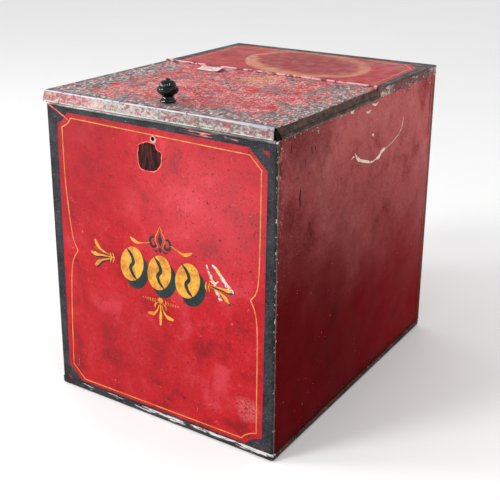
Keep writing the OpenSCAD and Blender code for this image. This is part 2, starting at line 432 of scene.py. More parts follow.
def make_front_red():
    f = Finish("front_red_paint", specular=0.12)
    f.base = front_red(f)
    worn = f.patch((88, -HALF_D, 326), (100, 40, 84), soft=1.6, ragged=0.6, grain=60)
    f.cover(worn, (210, 92, 102), 0.28)
    # Painted shadow of the lid's overhang, with some grime, darkens the top of the front
    lid_shade_and_grime = f.both(f.along("Z", 352, 402), f.spots(40, 0.42, 0.2, rough=0.55, seed=90))
    f.cover(lid_shade_and_grime, (134, 18, 28), 0.38)
    dim = f.patch((-120, -HALF_D, 350), (70, 40, 110), soft=1.4, ragged=0.9, grain=34, seed=88)
    f.cover(dim, (132, 20, 30), 0.42)
    dim = f.patch((-50, -HALF_D, 90), (110, 40, 80), soft=1.4, ragged=0.7, grain=40, seed=98)
    f.cover(dim, (134, 14, 24), 0.26)
    sides = f.either(f.along("X", 120, 165), f.along("X", -125, -165))
    ends = f.either(f.along("Z", 70, 14), f.along("Z", 350, 404))
    smoky = f.both(sides, ends, f.spots(26, 0.4, 0.25, rough=0.65, seed=15))
    f.cover(smoky, (96, 22, 30), 0.55)
    scrub = f.patch((140, -HALF_D, 62), (17, 30, 15), soft=0.9, ragged=1.2, grain=12)
    scrub = f.both(scrub, f.veins(5, 0.07, rough=0.7, seed=81))
    f.cover(scrub, (206, 140, 142), 0.32)
    hair = f.veins(30, 0.0045, detail=3, rough=0.5, seed=82)
    hair = f.both(hair, f.spots(14, 0.6, detail=3, rough=0.55, seed=83))
    f.cover(hair, (226, 140, 140), 0.5)
    specks = f.spots(2.6, 0.6, detail=3, rough=0.65, seed=11)
    f.cover(specks, (92, 10, 18), 0.55)
    pits = f.spots(5, 0.652, detail=4, rough=0.6, seed=12)
    f.cover(pits, (62, 12, 18), 0.8)
    smudge = f.spots(9, 0.645, 0.05, stretch=(1.8, 1, 1), seed=14)
    f.cover(smudge, (92, 30, 34), 0.45)
    scuff = f.spots(10, 0.7, 0.02, detail=6, rough=0.75, stretch=(0.35, 1, 1.9), seed=16)
    f.cover(scuff, (222, 140, 140), 0.6)
    ring = f.patch((0.6, -HALF_D, HOLE_Z - 0.8), (4.4, 8, 4.3), soft=0.3, ragged=1.6, grain=3)
    f.cover(ring, (186, 158, 150))
    nicks = f.spots(3.4, 0.735, 0.012, detail=4, seed=21)
    f.cover(nicks, CREAM)
    f.rough(f.noise(30, detail=4, seed=4), 0.4, 0.58)
    return f.done((f.noise(1.6, detail=2), 0.03), (f.noise(60, detail=2), 0.5), (nicks, -0.12),
                  (f.either(pits, specks), -0.06))


def make_scar():
    """Bare dark iron where an old plate has gone."""
    f = Finish("old_scar", specular=0.04)
    grain = f.noise(4, detail=6, rough=0.7, stretch=(1, 1, 4), seed=18)
    f.base = f.mix(f.ramp(grain, 0.36, 0.66), (22, 13, 14), (76, 34, 32))
    f.rough(grain, 0.5, 0.7)
    return f.done((grain, 0.06))


def make_side_red():
    f = Finish("side_red_paint", specular=0.01)
    # Painted light: the red is dark and saturated low down and paler higher up, a painted shade from
    # the floor below and a painted reflection of the pale floor above
    low = red_coat(f, (58, 0, 2), (84, 0, 4), (90, 0, 8), 80)
    high = red_coat(f, (142, 54, 55), (176, 90, 89), (188, 114, 111), 80)
    drift = f.swing(f.noise(90), 150)
    slope = f.add(f.mm("Z"), f.both(f.mm("Y"), 0.34))
    height = f.ramp(f.add(slope, drift), 110, 450)
    f.base = f.mix(height, low, high)
    # Painted light: a brighter red low down towards the back
    painted_glow = f.less(f.along("Y", -120, 225, 0, 0.3), height)
    f.cover(painted_glow, (166, 10, 22))
    grime = f.spots(30, 0.52, 0.2, detail=6, stretch=(1, 1, 1.5), seed=9)
    f.cover(grime, (58, 2, 6), 0.3)
    # Pale dust specks, spread more where the side is painted lighter
    dust = f.spots(2.4, 0.58, 0.06, detail=3, seed=12)
    f.cover(f.both(dust, 0.25, height), (190, 134, 132))
    specks = f.spots(3, 0.64, detail=3, rough=0.65, seed=31)
    f.cover(specks, (44, 6, 8), 0.6)
    pits = f.spots(6, 0.7, 0.02, detail=4, rough=0.6, stretch=(1, 1, 1.6), seed=35)
    f.cover(pits, (34, 14, 14), 0.8)
    lines = f.spots(8, 0.69, 0.02, detail=6, rough=0.75, stretch=(1, 2.6, 0.4), seed=36)
    f.cover(lines, (178, 110, 106), 0.45)
    # Soot and painted shade under the lid's skirt, at the top front of the side
    skirt_shade_and_soot = f.patch((HALF_W, -160, 398), (14, 66, 34), soft=1, ragged=1.8, grain=16)
    f.cover(skirt_shade_and_soot, (60, 18, 20), 0.42)
    on_side = f.outside("X", 172, 175)
    edge_z = f.along("Z", RIM_Z - 22, RIM_Z + 4)
    edge_y = f.either(f.along("Y", 216, HALF_D), f.along("Y", -218, -HALF_D))
    edge_y = f.both(edge_y, on_side)
    near = f.add(f.noise(4.2, detail=5, rough=0.7, seed=41), f.both(f.either(edge_z, edge_y), 0.1))
    chips = f.ramp(near, 0.705, 0.72)
    f.cover(f.ramp(near, 0.64, 0.69), (58, 22, 20), 0.8)
    f.cover(chips, CREAM)
    front_edge = f.both(f.along("Y", -208, -224), f.along("Z", 250, 390))
    crust = f.both(front_edge, f.spots(5, 0.46, 0.04, detail=6, stretch=(1, 1, 1.5), seed=71))
    f.cover(crust, (60, 20, 20), 0.75)
    bloom = f.both(front_edge, f.spots(4, 0.585, seed=73))
    f.cover(bloom, (196, 170, 156), 0.9)
    rear_edge = f.both(f.along("Y", 219, 226), f.spots(9, 0.36, 0.12, stretch=(1, 1, 3), seed=75))
    f.cover(f.both(rear_edge, 0.8, on_side), (84, 66, 58))
    seam = f.both(f.along("Y", 212.6, 214.2), f.along("Y", 217.4, 215.6))
    seam = f.both(seam, on_side,
                  f.spots(30, 0.34, 0.2, detail=3, rough=0.55, stretch=(1, 1, 3), seed=76))
    f.cover(seam, (52, 14, 16), 0.6)
    # Painted shade: a patchy darker band along the foot of the side, above the base's flange
    foot = f.both(f.along("Z", 26, 11), f.spots(12, 0.4, 0.2, rough=0.55, seed=39))
    f.cover(foot, (40, 16, 16), 0.7)
    f.rough(f.noise(40, detail=4, seed=6), 0.34, 0.5)
    return f.done((f.noise(1.6, detail=2), 0.03), (f.noise(70, detail=2), 0.6), (chips, -0.12))


def worn_top(f):
    """Bright red worn to curls of pale primer, with flat grey patches towards the edges."""
    f.base = red_coat(f, (128, 12, 24), (182, 26, 38), (190, 58, 66), 30)
    curls = f.veins(5, 0.05, stretch=(1, 1.6, 1), seed=17)
    thick = f.ramp(f.noise(24, seed=16), 0.38, 0.62, 0.1, 0.85)
    f.cover(f.both(curls, thick), (232, 186, 180))
    dots = f.spots(3.2, 0.57, detail=3, rough=0.55, stretch=(1, 1.6, 1), seed=18)
    f.cover(dots, (222, 172, 166), 0.75)
    rim = f.either(f.along("Y", -168, -222), f.along("X", -84, -168))
    rim = f.either(rim, f.along("X", 96, 170))
    wear = f.noise(15, detail=7, rough=0.66, stretch=(1.2, 1.2, 1), seed=13)
    near_corner = f.patch((150, -190, TOP_Z), (80, 60, 20), soft=1.2, ragged=0.4, grain=30)
    wear = f.add(wear, f.add(f.both(rim, 0.15), f.both(near_corner, 0.025)))
    greyed = f.ramp(wear, 0.555, 0.585)
    dull = f.mix(f.ramp(f.noise(4, rough=0.6, stretch=(1, 1.8, 1), seed=19), 0.42, 0.58), (52, 52, 52),
                 (118, 115, 112))
    rubbed = f.both(f.either(rim, 0.25),
                    f.spots(4.2, 0.53, 0.04, detail=3, rough=0.6, stretch=(1, 1.6, 1), seed=20))
    dull = f.mix(rubbed, dull, (218, 204, 204), 0.9)
    blush = f.spots(7, 0.55, 0.05, stretch=(1, 1.5, 1), seed=24)
    dull = f.mix(blush, dull, (168, 74, 82), 0.7)
    f.cover(greyed, dull, 0.94)
    pepper = f.spots(3, 0.62, detail=2, rough=0.5, stretch=(1, 1.8, 1), seed=23)
    f.cover(pepper, (64, 26, 30), 0.75)
    behind = f.both(f.along("Y", -220, -226), f.spots(9, 0.38, 0.1, stretch=(2, 1, 1), seed=86))
    f.cover(behind, (72, 72, 78), 0.6)
    charred = f.both(f.along("X", -164, -172), f.spots(9, 0.5, stretch=(1, 2, 1), seed=87))
    f.cover(charred, (42, 44, 36), 0.85)
    gold = f.either(f.patch((20, -8, TOP_Z), (20, 36, 8), soft=0.6, ragged=1.4, grain=14, turn=-30),
                    f.patch((154.8, -84, TOP_Z), (1.6, 44, 6), soft=0.4))
    gold = f.both(gold, f.spots(3.2, 0.5, detail=4, stretch=(1, 1.6, 1), seed=89))
    f.cover(gold, (206, 158, 96), 0.75)
    # A brown stain right of the knob, with the knob's painted shadow in it
    ring = f.patch((24, KNOB_Y - 4, TOP_Z), (26, 9, 6), soft=1.2, ragged=0.9, grain=10)
    f.cover(ring, (104, 52, 44), 0.6)
    f.bump((f.noise(1.2), 0.05), (curls, 0.06), (greyed, -0.08), (f.noise(40, detail=2), 0.5))
    return f.base


def front_skirt(f):
    """Skirt paint rubbed to rose at the left and to bare tin with red remains elsewhere."""
    grit = f.noise(3, rough=0.6, stretch=(1.3, 1, 1), seed=25)
    big = f.noise(16, detail=4, rough=0.6, stretch=(1.6, 1, 0.6), seed=26)
    rose = f.mix(f.ramp(grit, 0.4, 0.6), (136, 80, 80), (184, 134, 130))
    tin = f.mix(f.ramp(grit, 0.42, 0.58), (96, 86, 82), (150, 138, 132))
    reach = f.add(f.mm("X"), f.swing(big, 220))
    f.base = f.mix(f.ramp(reach, -84, -92), tin, rose)
    marks = f.add(f.noise(5, detail=4, rough=0.65, stretch=(1.5, 1, 1), seed=27), f.swing(big, 0.35))
    middle = f.both(f.along("X", -110, -90), f.along("X", 30, -20))
    f.cover(middle, (206, 200, 196), 0.35)
    marks = f.calc("SUBTRACT", marks, f.both(middle, 0.05))
    marks = f.both(f.ramp(marks, 0.5, 0.53), f.along("Z", 419.8, 421.2, 0.3, 1))
    f.cover(marks, (134, 56, 62), 0.85)
    pale = f.both(f.spots(4.5, 0.53, 0.04, detail=4, stretch=(1.6, 1, 1), seed=28),
                  f.along("Z", 424.5, 420.5, 0.25, 1))
    f.cover(pale, (198, 186, 180), 0.66)
    hem = f.both(f.along("Z", 419, 418.4), f.spots(6, 0.42, 0.08, detail=6, stretch=(2, 1, 1), seed=37))
    return f.mix(hem, f.base, (208, 198, 188), 0.8)


def side_skirt(f):
    """Dark brown lacquer with a dark line painted along it as the shade of a crease, and a rubbed lower
    lip.
    """
    grain = f.noise(5, detail=7, rough=0.72, stretch=(1, 2.5, 1), seed=29)
    f.base = f.mix(f.ramp(grain, 0.38, 0.62), (34, 20, 16), (88, 62, 50))
    f.cover(f.spots(5, 0.62, rough=0.55, seed=33), (120, 40, 42), 0.8)
    # Painted shade: a dark line along the skirt standing for the shade of a crease
    crease = f.both(f.along("Z", 423.6, 422.8), f.along("Z", 420.8, 421.8))
    f.cover(crease, (14, 11, 10), 0.8)
    lip = f.both(f.along("Z", 419.2, 418.4), f.spots(5, 0.42, 0.1, detail=4, rough=0.55, seed=34))
    return f.mix(lip, f.base, (124, 112, 100), 0.6)


def rolled_paint(f):
    """Paint worn to pink primer where sheet is rolled round the hinge wire."""
    worn = f.spots(5, 0.52, 0.04, rough=0.55, stretch=(2, 1, 1), seed=38)
    return f.mix(worn, (212, 150, 156), (120, 40, 48))


def make_lid_red():
    f = Finish("worn_lid_paint", specular=0.22)
    front_tin, side_tin = front_skirt(f), side_skirt(f)
    f.base = worn_top(f)
    on_right = f.both(f.along("X", 174.4, 174.7), f.along("Y", -229.2, -228.8))
    front = f.less(f.along("Y", -230.4, -230.9), on_right)
    f.cover(front, front_tin)
    fallen = f.along("Z", 431.3, 430.7)
    f.cover(f.both(on_right, fallen), side_tin)
    scoured = f.spots(5, 0.44, 0.16, rough=0.55, stretch=(1, 2, 1), seed=35)
    f.cover(f.along("X", -176.9, -177.5), f.mix(scoured, (76, 64, 60), (134, 122, 116)))
    rise = f.add(f.mm("Z"), f.along("X", 60, 176, 0, 2.2))
    # Bare worn tin along the front fold, also lightened bluish-white as a painted highlight, brighter
    # to the left
    worn_crest_highlight = f.less(f.both(f.along("Y", -228.9, -229.5), f.ramp(rise, 430.3, 430.9)), on_right)
    worn_crest_highlight = f.both(worn_crest_highlight, f.spots(8, 0.36, 0.1, detail=6, seed=36))
    f.cover(worn_crest_highlight, f.mix(f.along("X", 60, 170), (196, 201, 208), (160, 168, 174)), 0.85)
    f.cover(f.along("Y", HINGE_Y - 3.2, HINGE_Y - 2.4), rolled_paint(f))
    f.rough(f.noise(9, detail=5, seed=6), 0.4, 0.64)
    return f.done()


def make_rear_red():
    f = Finish("rear_top_paint", specular=0.22)
    f.base = red_coat(f, *REAR_REDS)
    back = f.along("Y", 110, 235)
    haze = f.spots(20, 0.44, 0.16, detail=7, rough=0.72, stretch=(2.5, 1, 1), seed=43)
    f.cover(f.both(haze, back), (158, 116, 112), 0.75)
    outer = f.patch(*RING_OUTER, soft=0.03, ragged=0.12, grain=18, seed=5.0, turn=RING_TURN)
    inner = f.patch(*RING_INNER, soft=0.26, ragged=0.45, grain=18, seed=8.0, turn=RING_TURN)
    ring = f.less(outer, inner)
    f.cover(inner, (142, 26, 28), 0.75)
    thin = f.spots(16, 0.32, 0.22, detail=7, rough=0.72, seed=47)
    kept = f.add(f.both(thin, 0.5), f.along("Y", 80, 190, 0.4, 0))
    ring = f.both(ring, kept)
    f.cover(ring, f.mix(f.along("X", -40, -90), (198, 128, 92), (216, 156, 122)))
    fleck = f.spots(2.2, 0.58, 0.06, detail=4, rough=0.75, seed=49)
    f.cover(fleck, (206, 150, 146), 0.3)
    specks = f.spots(3, 0.63, detail=3, rough=0.65, seed=31)
    f.cover(specks, (80, 18, 22), 0.6)
    skirt = f.along("Z", TOP_Z - 0.9, TOP_Z - 1.5)
    wear = f.noise(6, detail=6, rough=0.72, stretch=(1.8, 1.8, 1), seed=53)
    f.cover(skirt, (116, 40, 40), 0.75)
    f.cover(f.both(skirt, f.ramp(wear, 0.44, 0.52)), (68, 40, 36), 0.85)
    edge = f.outside("X", 176.2, 177)
    edge = f.either(edge, f.along("Y", 226.8, 227.6))
    fold = f.both(edge, f.along("Z", TOP_Z - 3.5, TOP_Z - 2.5))
    f.cover(fold, (46, 42, 42), 0.85)
    front_end = f.both(skirt, f.along("Y", REAR_EDGE + 5, REAR_EDGE + 2))
    f.cover(front_end, (50, 34, 32), 0.8)
    near = f.patch((HALF_W, 46, 424), (14, 30, 22), soft=0.8, ragged=1, grain=10)
    far = f.patch((HALF_W, 226, 424), (14, 24, 26), soft=0.8, ragged=1, grain=10)
    worn = f.add(wear, f.both(f.either(near, far), 0.09))
    chips = f.both(skirt, f.ramp(worn, 0.585, 0.605))
    f.cover(chips, f.mix(f.ramp(f.noise(3, detail=4), 0.4, 0.6), (128, 116, 106), (190, 176, 160)))
    f.rough(f.noise(14, detail=5, seed=6), 0.38, 0.58)
    return f.done((f.noise(1.4), 0.04), (f.noise(50, detail=2), 0.5), (chips, -0.1))


def make_black(name="black_border_paint", scraped=False):
    f = Finish(name, specular=0.08)
    f.base = f.mix(f.ramp(f.noise(22, detail=5, rough=0.6), 0.35, 0.65), (30, 31, 34), (50, 52, 57))
    dust = f.spots(2.4, 0.54, 0.1, rough=0.72, seed=63)
    f.cover(dust, (108, 106, 110), 0.35)
    edge = f.outside("X", 174.5, 178.5)
    wear = f.add(f.noise(5, detail=6, rough=0.7, seed=51), f.both(edge, 0.13))
    worn = f.ramp(wear, 0.665, 0.685)
    f.cover(worn, (204, 190, 176))
    if scraped:
        brown = f.spots(14, 0.5, 0.1, detail=6, seed=64)
        f.cover(brown, (64, 40, 34), 0.5)
        streak = f.noise(5, detail=7, rough=0.75, stretch=(7, 7, 0.8), seed=65)
        upper = f.both(f.along("Z", 3.5, 7.5), f.along("X", -150, 60, 0.02, 0.14))
        front = f.both(f.along("Y", -HALF_D + 2, -HALF_D + 1.0), upper)
        bare = f.ramp(f.add(streak, front), 0.615, 0.645)
        f.cover(bare, (206, 204, 200))
        worn = f.either(worn, bare)
        rear = f.along("Y", -HALF_D + 2, -HALF_D + 8)
        rust = f.mix(f.ramp(f.noise(7, detail=6, rough=0.7, stretch=(1, 3, 1), seed=67), 0.4, 0.6),
                     (24, 14, 13), (78, 44, 34))
        f.cover(rear, rust)
        f.cover(f.both(rear, f.spots(4, 0.63, rough=0.55, seed=68)), (170, 150, 130))
    else:
        streak = f.noise(5, detail=6, rough=0.75, stretch=(7, 1, 0.6), seed=66)
        top = f.both(f.along("Z", 408, 414), f.along("X", -60, 170, 0, 0.09))
        f.cover(f.ramp(f.add(streak, top), 0.64, 0.67), (190, 104, 104))
        sheen = f.both(f.along("Z", 413, 416.5), f.ramp(streak, 0.42, 0.62))
        f.cover(sheen, (104, 110, 110), 0.6)
        scraped = f.patch((84, -HALF_D, 409), (36, 8, 2.2), soft=0.7, ragged=0.9, grain=8)
        f.cover(f.both(scraped, f.ramp(streak, 0.5, 0.56)), (236, 140, 138))
        bare = f.patch((173, -230, 415.5), (11, 8, 2.6), soft=0.5, ragged=1.6, grain=4)
        f.cover(bare, (236, 228, 222))
    f.rough(f.noise(20, detail=4), 0.4, 0.6)
    return f.done((f.noise(1.6, detail=2), 0.03), (worn, -0.08))


def make_flat_paint(name, low, high, chip_level=0.66):
    """Sign-writer's paint that varies between two colours and has flaked back to the red."""
    f = Finish(name, specular=0.16)
    f.base = f.mix(f.ramp(f.noise(10, detail=5, rough=0.65, seed=2), 0.35, 0.65), low, high)
    brush = f.noise(2, stretch=(1, 1, 6), seed=8)
    f.cover(f.ramp(brush, 0.5, 0.75), low, 0.35)
    flakes = f.spots(2.6, chip_level, 0.02, seed=61)
    f.cover(flakes, front_red(f))
    f.rough(brush, 0.4, 0.56)
    return f.done((brush, 0.04), (flakes, -0.08))


def make_scraped():
    """Sign paint scraped through to pale primer."""
    f = Finish("scraped_sign_paint", specular=0.3)
    f.base = f.mix(f.spots(5, 0.52, 0.04, seed=83), (212, 190, 186), (150, 110, 104))
    f.cover(f.spots(7, 0.56, 0.04, detail=4, rough=0.55, seed=85), (222, 164, 54))
    f.rough(f.noise(6), 0.5, 0.65)
    return f.done((f.noise(2, detail=4), 0.08))


def make_primer():
    """Pale primer in a scratch or a chip."""
    f = Finish("pale_primer", specular=0.2)
    f.base = f.mix(f.ramp(f.noise(4, detail=5, rough=0.7), 0.35, 0.6), (196, 168, 150), CREAM)
    f.rough(f.noise(3), 0.5, 0.7)
    return f.done((f.noise(1.5, detail=4), 0.06))


def make_patched_tin():
    """Bare tin with the last pink of its paint."""
    f = Finish("patched_tin", roughness=0.45, metallic=0.2)
    pink = f.spots(8, 0.46, 0.1, detail=6, stretch=(2, 1, 1), seed=91)
    f.base = f.mix(pink, (226, 218, 216), (214, 130, 132), 0.7)
    f.rough(f.noise(5, detail=4), 0.4, 0.6)
    return f.done((f.noise(1.5, detail=4), 0.05))


def make_lid_inside():
    """Dull tin under the lid, made near-black on the skirts' inner faces as painted shade."""
    f = Finish("lid_inside_tin", roughness=0.55, metallic=0.5, specular=0.3)
    f.base = f.mix(f.ramp(f.noise(26, detail=6, rough=0.65), 0.38, 0.62), (96, 90, 84), (140, 134, 126))
    rust = f.spots(7, 0.63, 0.05, seed=92)
    f.cover(rust, RUST, 0.6)
    # Painted shade: the skirts' inner faces below the top are near-black
    f.cover(f.along("Z", TOP_Z - 1.5, TOP_Z - 3), (14, 11, 10))
    f.metal(rust, 0.5, 0.1)
    return f.done((f.noise(1.5, detail=4), 0.05))


def make_strap_paint():
    """Red strap, worn to pink primer where it is bent round the wire."""
    f = Finish("strap_paint", roughness=0.5, specular=0.22)
    tail = f.add(f.mm("Y"), f.both(f.noise(6, detail=4, seed=94), 3))
    f.base = f.mix(f.ramp(tail, HINGE_Y + 2.4, HINGE_Y + 3.4), rolled_paint(f),
                   red_coat(f, *REAR_REDS))
    return f.done((f.noise(1.5, detail=4), 0.05))


def make_tin(name, base_colour, dull, roughness=0.45, rusty=0.6):
    """Old tinplate: metal with a dull grey bloom and faint rust."""
    f = Finish(name, roughness=roughness, metallic=0.8)
    f.base = f.mix(f.ramp(f.noise(30, detail=5, rough=0.65), 0.35, 0.65), base_colour, dull)
    rust = f.spots(16, rusty, 0.08, detail=6, seed=71)
    f.cover(rust, RUST, 0.6)
    f.metal(rust, 0.8, 0.1)
    f.rough(f.noise(9, detail=5), roughness - 0.08, roughness + 0.14)
    return f.done((f.noise(1.4), 0.03), (f.noise(50, detail=2), 0.5))


def make_rim_tin():
    """Slate-grey rubbed rim, dark on top where the lid's skirt shades it."""
    f = Finish("slate_rim_tin", roughness=0.45, metallic=0.4)
    streak = f.noise(5, detail=5, rough=0.7, stretch=(5, 1, 1), seed=96)
    rubbed = f.along("X", 40, -150, 0, 0.5)
    f.base = f.mix(f.ramp(streak, 0.38, 0.62), (62, 68, 68), (112, 118, 116))
    f.cover(f.both(rubbed, f.ramp(streak, 0.45, 0.6)), (196, 194, 186))
    f.cover(f.along("Z", RIM_ROLL_Z + 0.3, RIM_ROLL_Z + 1.1), (16, 15, 15))
    return f.done((f.noise(1.5), 0.04))


def make_knob_black():
    f = Finish("knob_black_enamel", roughness=0.07, specular=0.28)
    f.base = f.mix(f.ramp(f.noise(3), 0.4, 0.7), (2, 2, 3), (8, 7, 8))
    nicks = f.spots(1.6, 0.66, detail=3, rough=0.55, seed=95)
    f.cover(nicks, (90, 84, 78), 0.6)
    f.rough(f.noise(4, detail=4), 0.04, 0.1)
    return f.done((f.noise(1.6, detail=2), 0.004))


FRONT_RED = make_front_red()
SIDE_RED = make_side_red()
LID_RED = make_lid_red()
REAR_RED = make_rear_red()
BLACK_PAINT = make_black()
BASE_BLACK = make_black("base_black_paint", scraped=True)
SCAR = make_scar()
CREAM_CHIP = make_primer()
YELLOW = make_flat_paint("yellow_sign_paint", (178, 112, 34), (222, 162, 60), 0.68)
STRIPE = make_flat_paint("pinstripe_paint", (186, 112, 54), (216, 152, 84), 0.64)
FADED_STRIPE = make_flat_paint("faded_stripe_paint", (190, 112, 68), (216, 154, 98), 0.62)
GREEN = make_flat_paint("dark_green_sign_paint", (16, 32, 30), (30, 50, 46), 0.70)
SCRAPED = make_scraped()
TOUCH_RED = make_flat_paint("red_touch_paint", (210, 64, 62), (236, 116, 102), 0.75)
INSIDE_TIN = make_tin("inside_tin", (150, 146, 138), (112, 106, 98), 0.5)
BRIGHT_TIN = make_tin("bright_tin", (206, 202, 198), (168, 162, 158), 0.38, 0.66)
WIRE_STEEL = make_tin("wire_steel", (120, 116, 112), (80, 74, 70), 0.4)
SOLDER = make_tin("old_solder", (170, 168, 164), (128, 124, 120), 0.42)
KNOB_BLACK = make_knob_black()
PATCHED_TIN = make_patched_tin()
LID_INSIDE = make_lid_inside()
RIM_TIN = make_rim_tin()
# Painted shade: the collars inside the mouth are tin made near-black, as they sit in shade under the
# lid
COLLAR_TIN = make_tin("collar_tin_in_painted_shade", (34, 28, 26), (20, 15, 14), 0.6, 0.62)
STRAP_PAINT = make_strap_paint()

# ---------------------------------------------------------------- the bin's sheets


def sheet_bulge(across, up, half, top, margin, mean, swing, waves, seed):
    """How far a sheet stands out from its flat plane: mean give or take swing, 0 at its edges."""
    edge = fade(across, -half, half, margin) * fade(up, 0, top, margin)
    return edge * (mean + swing * ripple(across, up, waves, seed))


def front_point(x, z, lift=0.0):
    out = sheet_bulge(x, z, HALF_W, RIM_Z, margin=60, mean=0.5, swing=0.9, waves=110, seed=2.3)
    return (x, -HALF_D - out - lift, z)


def side_bulge(y, z, side):
    return sheet_bulge(y, z, HALF_D, RIM_Z, margin=70, mean=0.4, swing=1.0, waves=140,
                       seed=5.1 * side)


def front_panel():
    bend = FRONT_BEND
    face_x = HALF_W - SHEET - bend
    centre_y = -HALF_D + bend
    plan = [(-face_x - bend, y) for y in (LAP_END, centre_y + 1)]
    plan += [(-face_x - bend * math.sin(a), centre_y - bend * math.cos(a)) for a in arc(90, 0, 6)]
    plan += [(x, None) for x in steps(-face_x, face_x, CELL, (0,))[1:-1]]
    plan += [(face_x + bend * math.sin(a), centre_y - bend * math.cos(a)) for a in arc(0, 90, 6)]
    plan += [(face_x + bend, y) for y in (centre_y + 1, LAP_END)]
    turns = round_points(RIM_Y, RIM_ROLL_Z, RIM_WIRE_R, arc(0, 290, 22)[1:])
    rows = [*steps(WALL_FOOT, RIM_ROLL_Z, CELL), *(CURL + i for i in range(len(turns)))]

    def point(u, v):
        x, y = plan[u]
        if v >= CURL:
            return (x, *turns[v - CURL])
        return front_point(x, v) if y is None else (x, y, v)

    def is_flat(u):
        return max(abs(plan[int(u)][0]), abs(plan[int(u) + 1][0])) < face_x + 0.01

    bm = grid(range(len(plan)), rows, point, lambda u, v: v > RIM_ROLL_Z and not is_flat(u),
              lambda u, v: 0 if v < RIM_ROLL_Z and is_flat(u) else 2)
    bpy.ops.mesh.primitive_cylinder_add(vertices=40, radius=HOLE_R * MM, depth=20 * MM,
                                        location=(0, -HALF_D * MM, HOLE_Z * MM),
                                        rotation=(math.pi / 2, 0, 0))
    cutter = bpy.context.object
    mesh = formed(bm, [FRONT_RED, INSIDE_TIN, BLACK_PAINT, RIM_TIN], SHEET, 1, hole=cutter)
    bpy.data.objects.remove(cutter)
    piece("front_sheet", mesh, "bin", ["front_panel"])


def side_panel(name, side):
    low, high = box_mm(name)
    step_y = HINGE_Y + 1
    bm = grid(steps(low.y, high.y, CELL, (step_y,)), steps(WALL_FOOT, high.z, CELL, (RIM_Z,)),
              lambda y, z: (side * (HALF_W + side_bulge(y, z, side)), y, z),
              lambda y, z: z > RIM_Z and y < step_y, flip=side < 0)
    mesh = formed(bm, [SIDE_RED, INSIDE_TIN], SHEET, 1, 1)
    piece(name + "_sheet", mesh, "bin", [name])


def back_panel():
    high = box_mm("back_panel")[1]
    seam_x, seam_low, seam_high = high.x, BASE_H + 0.5, FLANGE_Z - 0.5
    flat_x = seam_x - FOLD_R
    plan = [(seam_x, HALF_D - SEAM), (seam_x, HALF_D - FOLD_R - 0.5)]
    plan += round_points(flat_x, HALF_D - FOLD_R, FOLD_R, arc(0, 90, 5))
    turned = plan[::-1]
    plan += [(x, HALF_D) for x in steps(-flat_x, flat_x, CELL)[::-1][1:-1]]
    plan += [(-x, y) for x, y in turned]

    def point(u, v):
        x, y = plan[u]
        if y == HALF_D:
            y += sheet_bulge(x, v, HALF_W, TOP_Z, margin=60, mean=0.2, swing=0.6, waves=130, seed=8.8)
        return (x, y, v)

    def skip(u, v):
        outer = max(abs(plan[int(u)][0]), abs(plan[int(u) + 1][0])) > flat_x + 0.01
        return outer and not seam_low < v < seam_high

    bm = grid(range(len(plan)), steps(WALL_FOOT, high.z, CELL, (seam_low, seam_high)), point, skip)
    mesh = formed(bm, [SIDE_RED, INSIDE_TIN], SHEET, 1, 1)
    piece("back_sheet", mesh, "bin", ["back_panel"])


# ---------------------------------------------------------------- pans: a plate with skirts


def belt(path, profile, flip=False, bm=None):
    """Sweeps profile(station) along a path of (x, y, outward angle in degrees) stations."""
    rows = [profile(k) for k in range(len(path))]

    def point(u, v):
        x, y, degrees = path[u]
        out, z = rows[u][v]
        return (x + out * math.cos(math.radians(degrees)),
                y + out * math.sin(math.radians(degrees)), z)

    return grid(range(len(path)), range(len(rows[0])), point, flip=flip, bm=bm)


def turn(x, y, start, end):
    """Stations that turn on the spot, as a folded corner does."""
    return [(x, y, start + (end - start) * i / 6) for i in range(7)]


def circuit(corners, degrees, size, closed):
    """Stations along straight runs between corners, with a quarter turn left at each."""
    path = []
    for a, b in zip(corners, corners[1:]):
        axis = 0 if a[1] == b[1] else 1
        run = steps(*sorted((a[axis], b[axis])), size)
        if a[axis] > b[axis]:
            run = run[::-1]
        if path:
            run = run[1:]
        path += [(s, a[1], degrees) if axis == 0 else (a[0], s, degrees) for s in run]
        if closed or b is not corners[-1]:
            path += turn(*b, degrees, degrees + 90)[1:]
        degrees += 90
    return path


def folded(depth, flare, radius, plate_z, sign, hem=0.0):
    """Profile of a skirt: fold, straight fall and, where asked, a hem turned back inside."""
    lean = math.atan2(flare, depth - radius)
    rows = [(radius * math.sin(a), plate_z + sign * radius * (1 - math.cos(a)))
            for a in arc(0, 90 - math.degrees(lean), 5)]
    start_out, start_z = rows[-1]
    end_out, end_z = radius + flare, plate_z + sign * (depth - HEM_R)
    for i in range(1, 5):
        rows.append((start_out + (end_out - start_out) * i / 4, start_z + (end_z - start_z) * i / 4))
    if hem:
        rows += [(end_out - HEM_R + HEM_R * math.cos(a), end_z + sign * HEM_R * math.sin(a))
                 for a in arc(0, 180, 6)[1:]]
        rows.append((rows[-1][0] - flare * 0.25, rows[-1][1] - sign * hem))
    else:
        rows[-1] = (end_out, plate_z + sign * depth)
    return rows


def base_pan():
    x, y = OUT_X - BASE_FOLD_R, OUT_Y - BASE_FOLD_R
    path = circuit([(-x, -y), (x, -y), (x, y), (-x, y), (-x, -y)], -90, CELL * 2, True)
    rows = folded(BASE_H, 0.0, BASE_FOLD_R, 0.0, 1)
    bm = belt(path, lambda k: rows)
    grid(steps(-x, x, CELL * 2), steps(-y, y, CELL * 2), lambda a, b: (a, b, 0.0), flip=True, bm=bm)
    mesh = formed(bm, [BASE_BLACK, INSIDE_TIN], SHEET, 1)
    piece("base_sheet", mesh, "bin", ["base_pan"])


def top_point(x, y, lift=0.0):
    edge = fade(x, -HALF_W, HALF_W, 50) * fade(y, REAR_EDGE, HALF_D, 50)
    return (x, y, TOP_Z + edge * (-0.5 + 0.9 * ripple(x, y, 120, 4.4)) + lift)


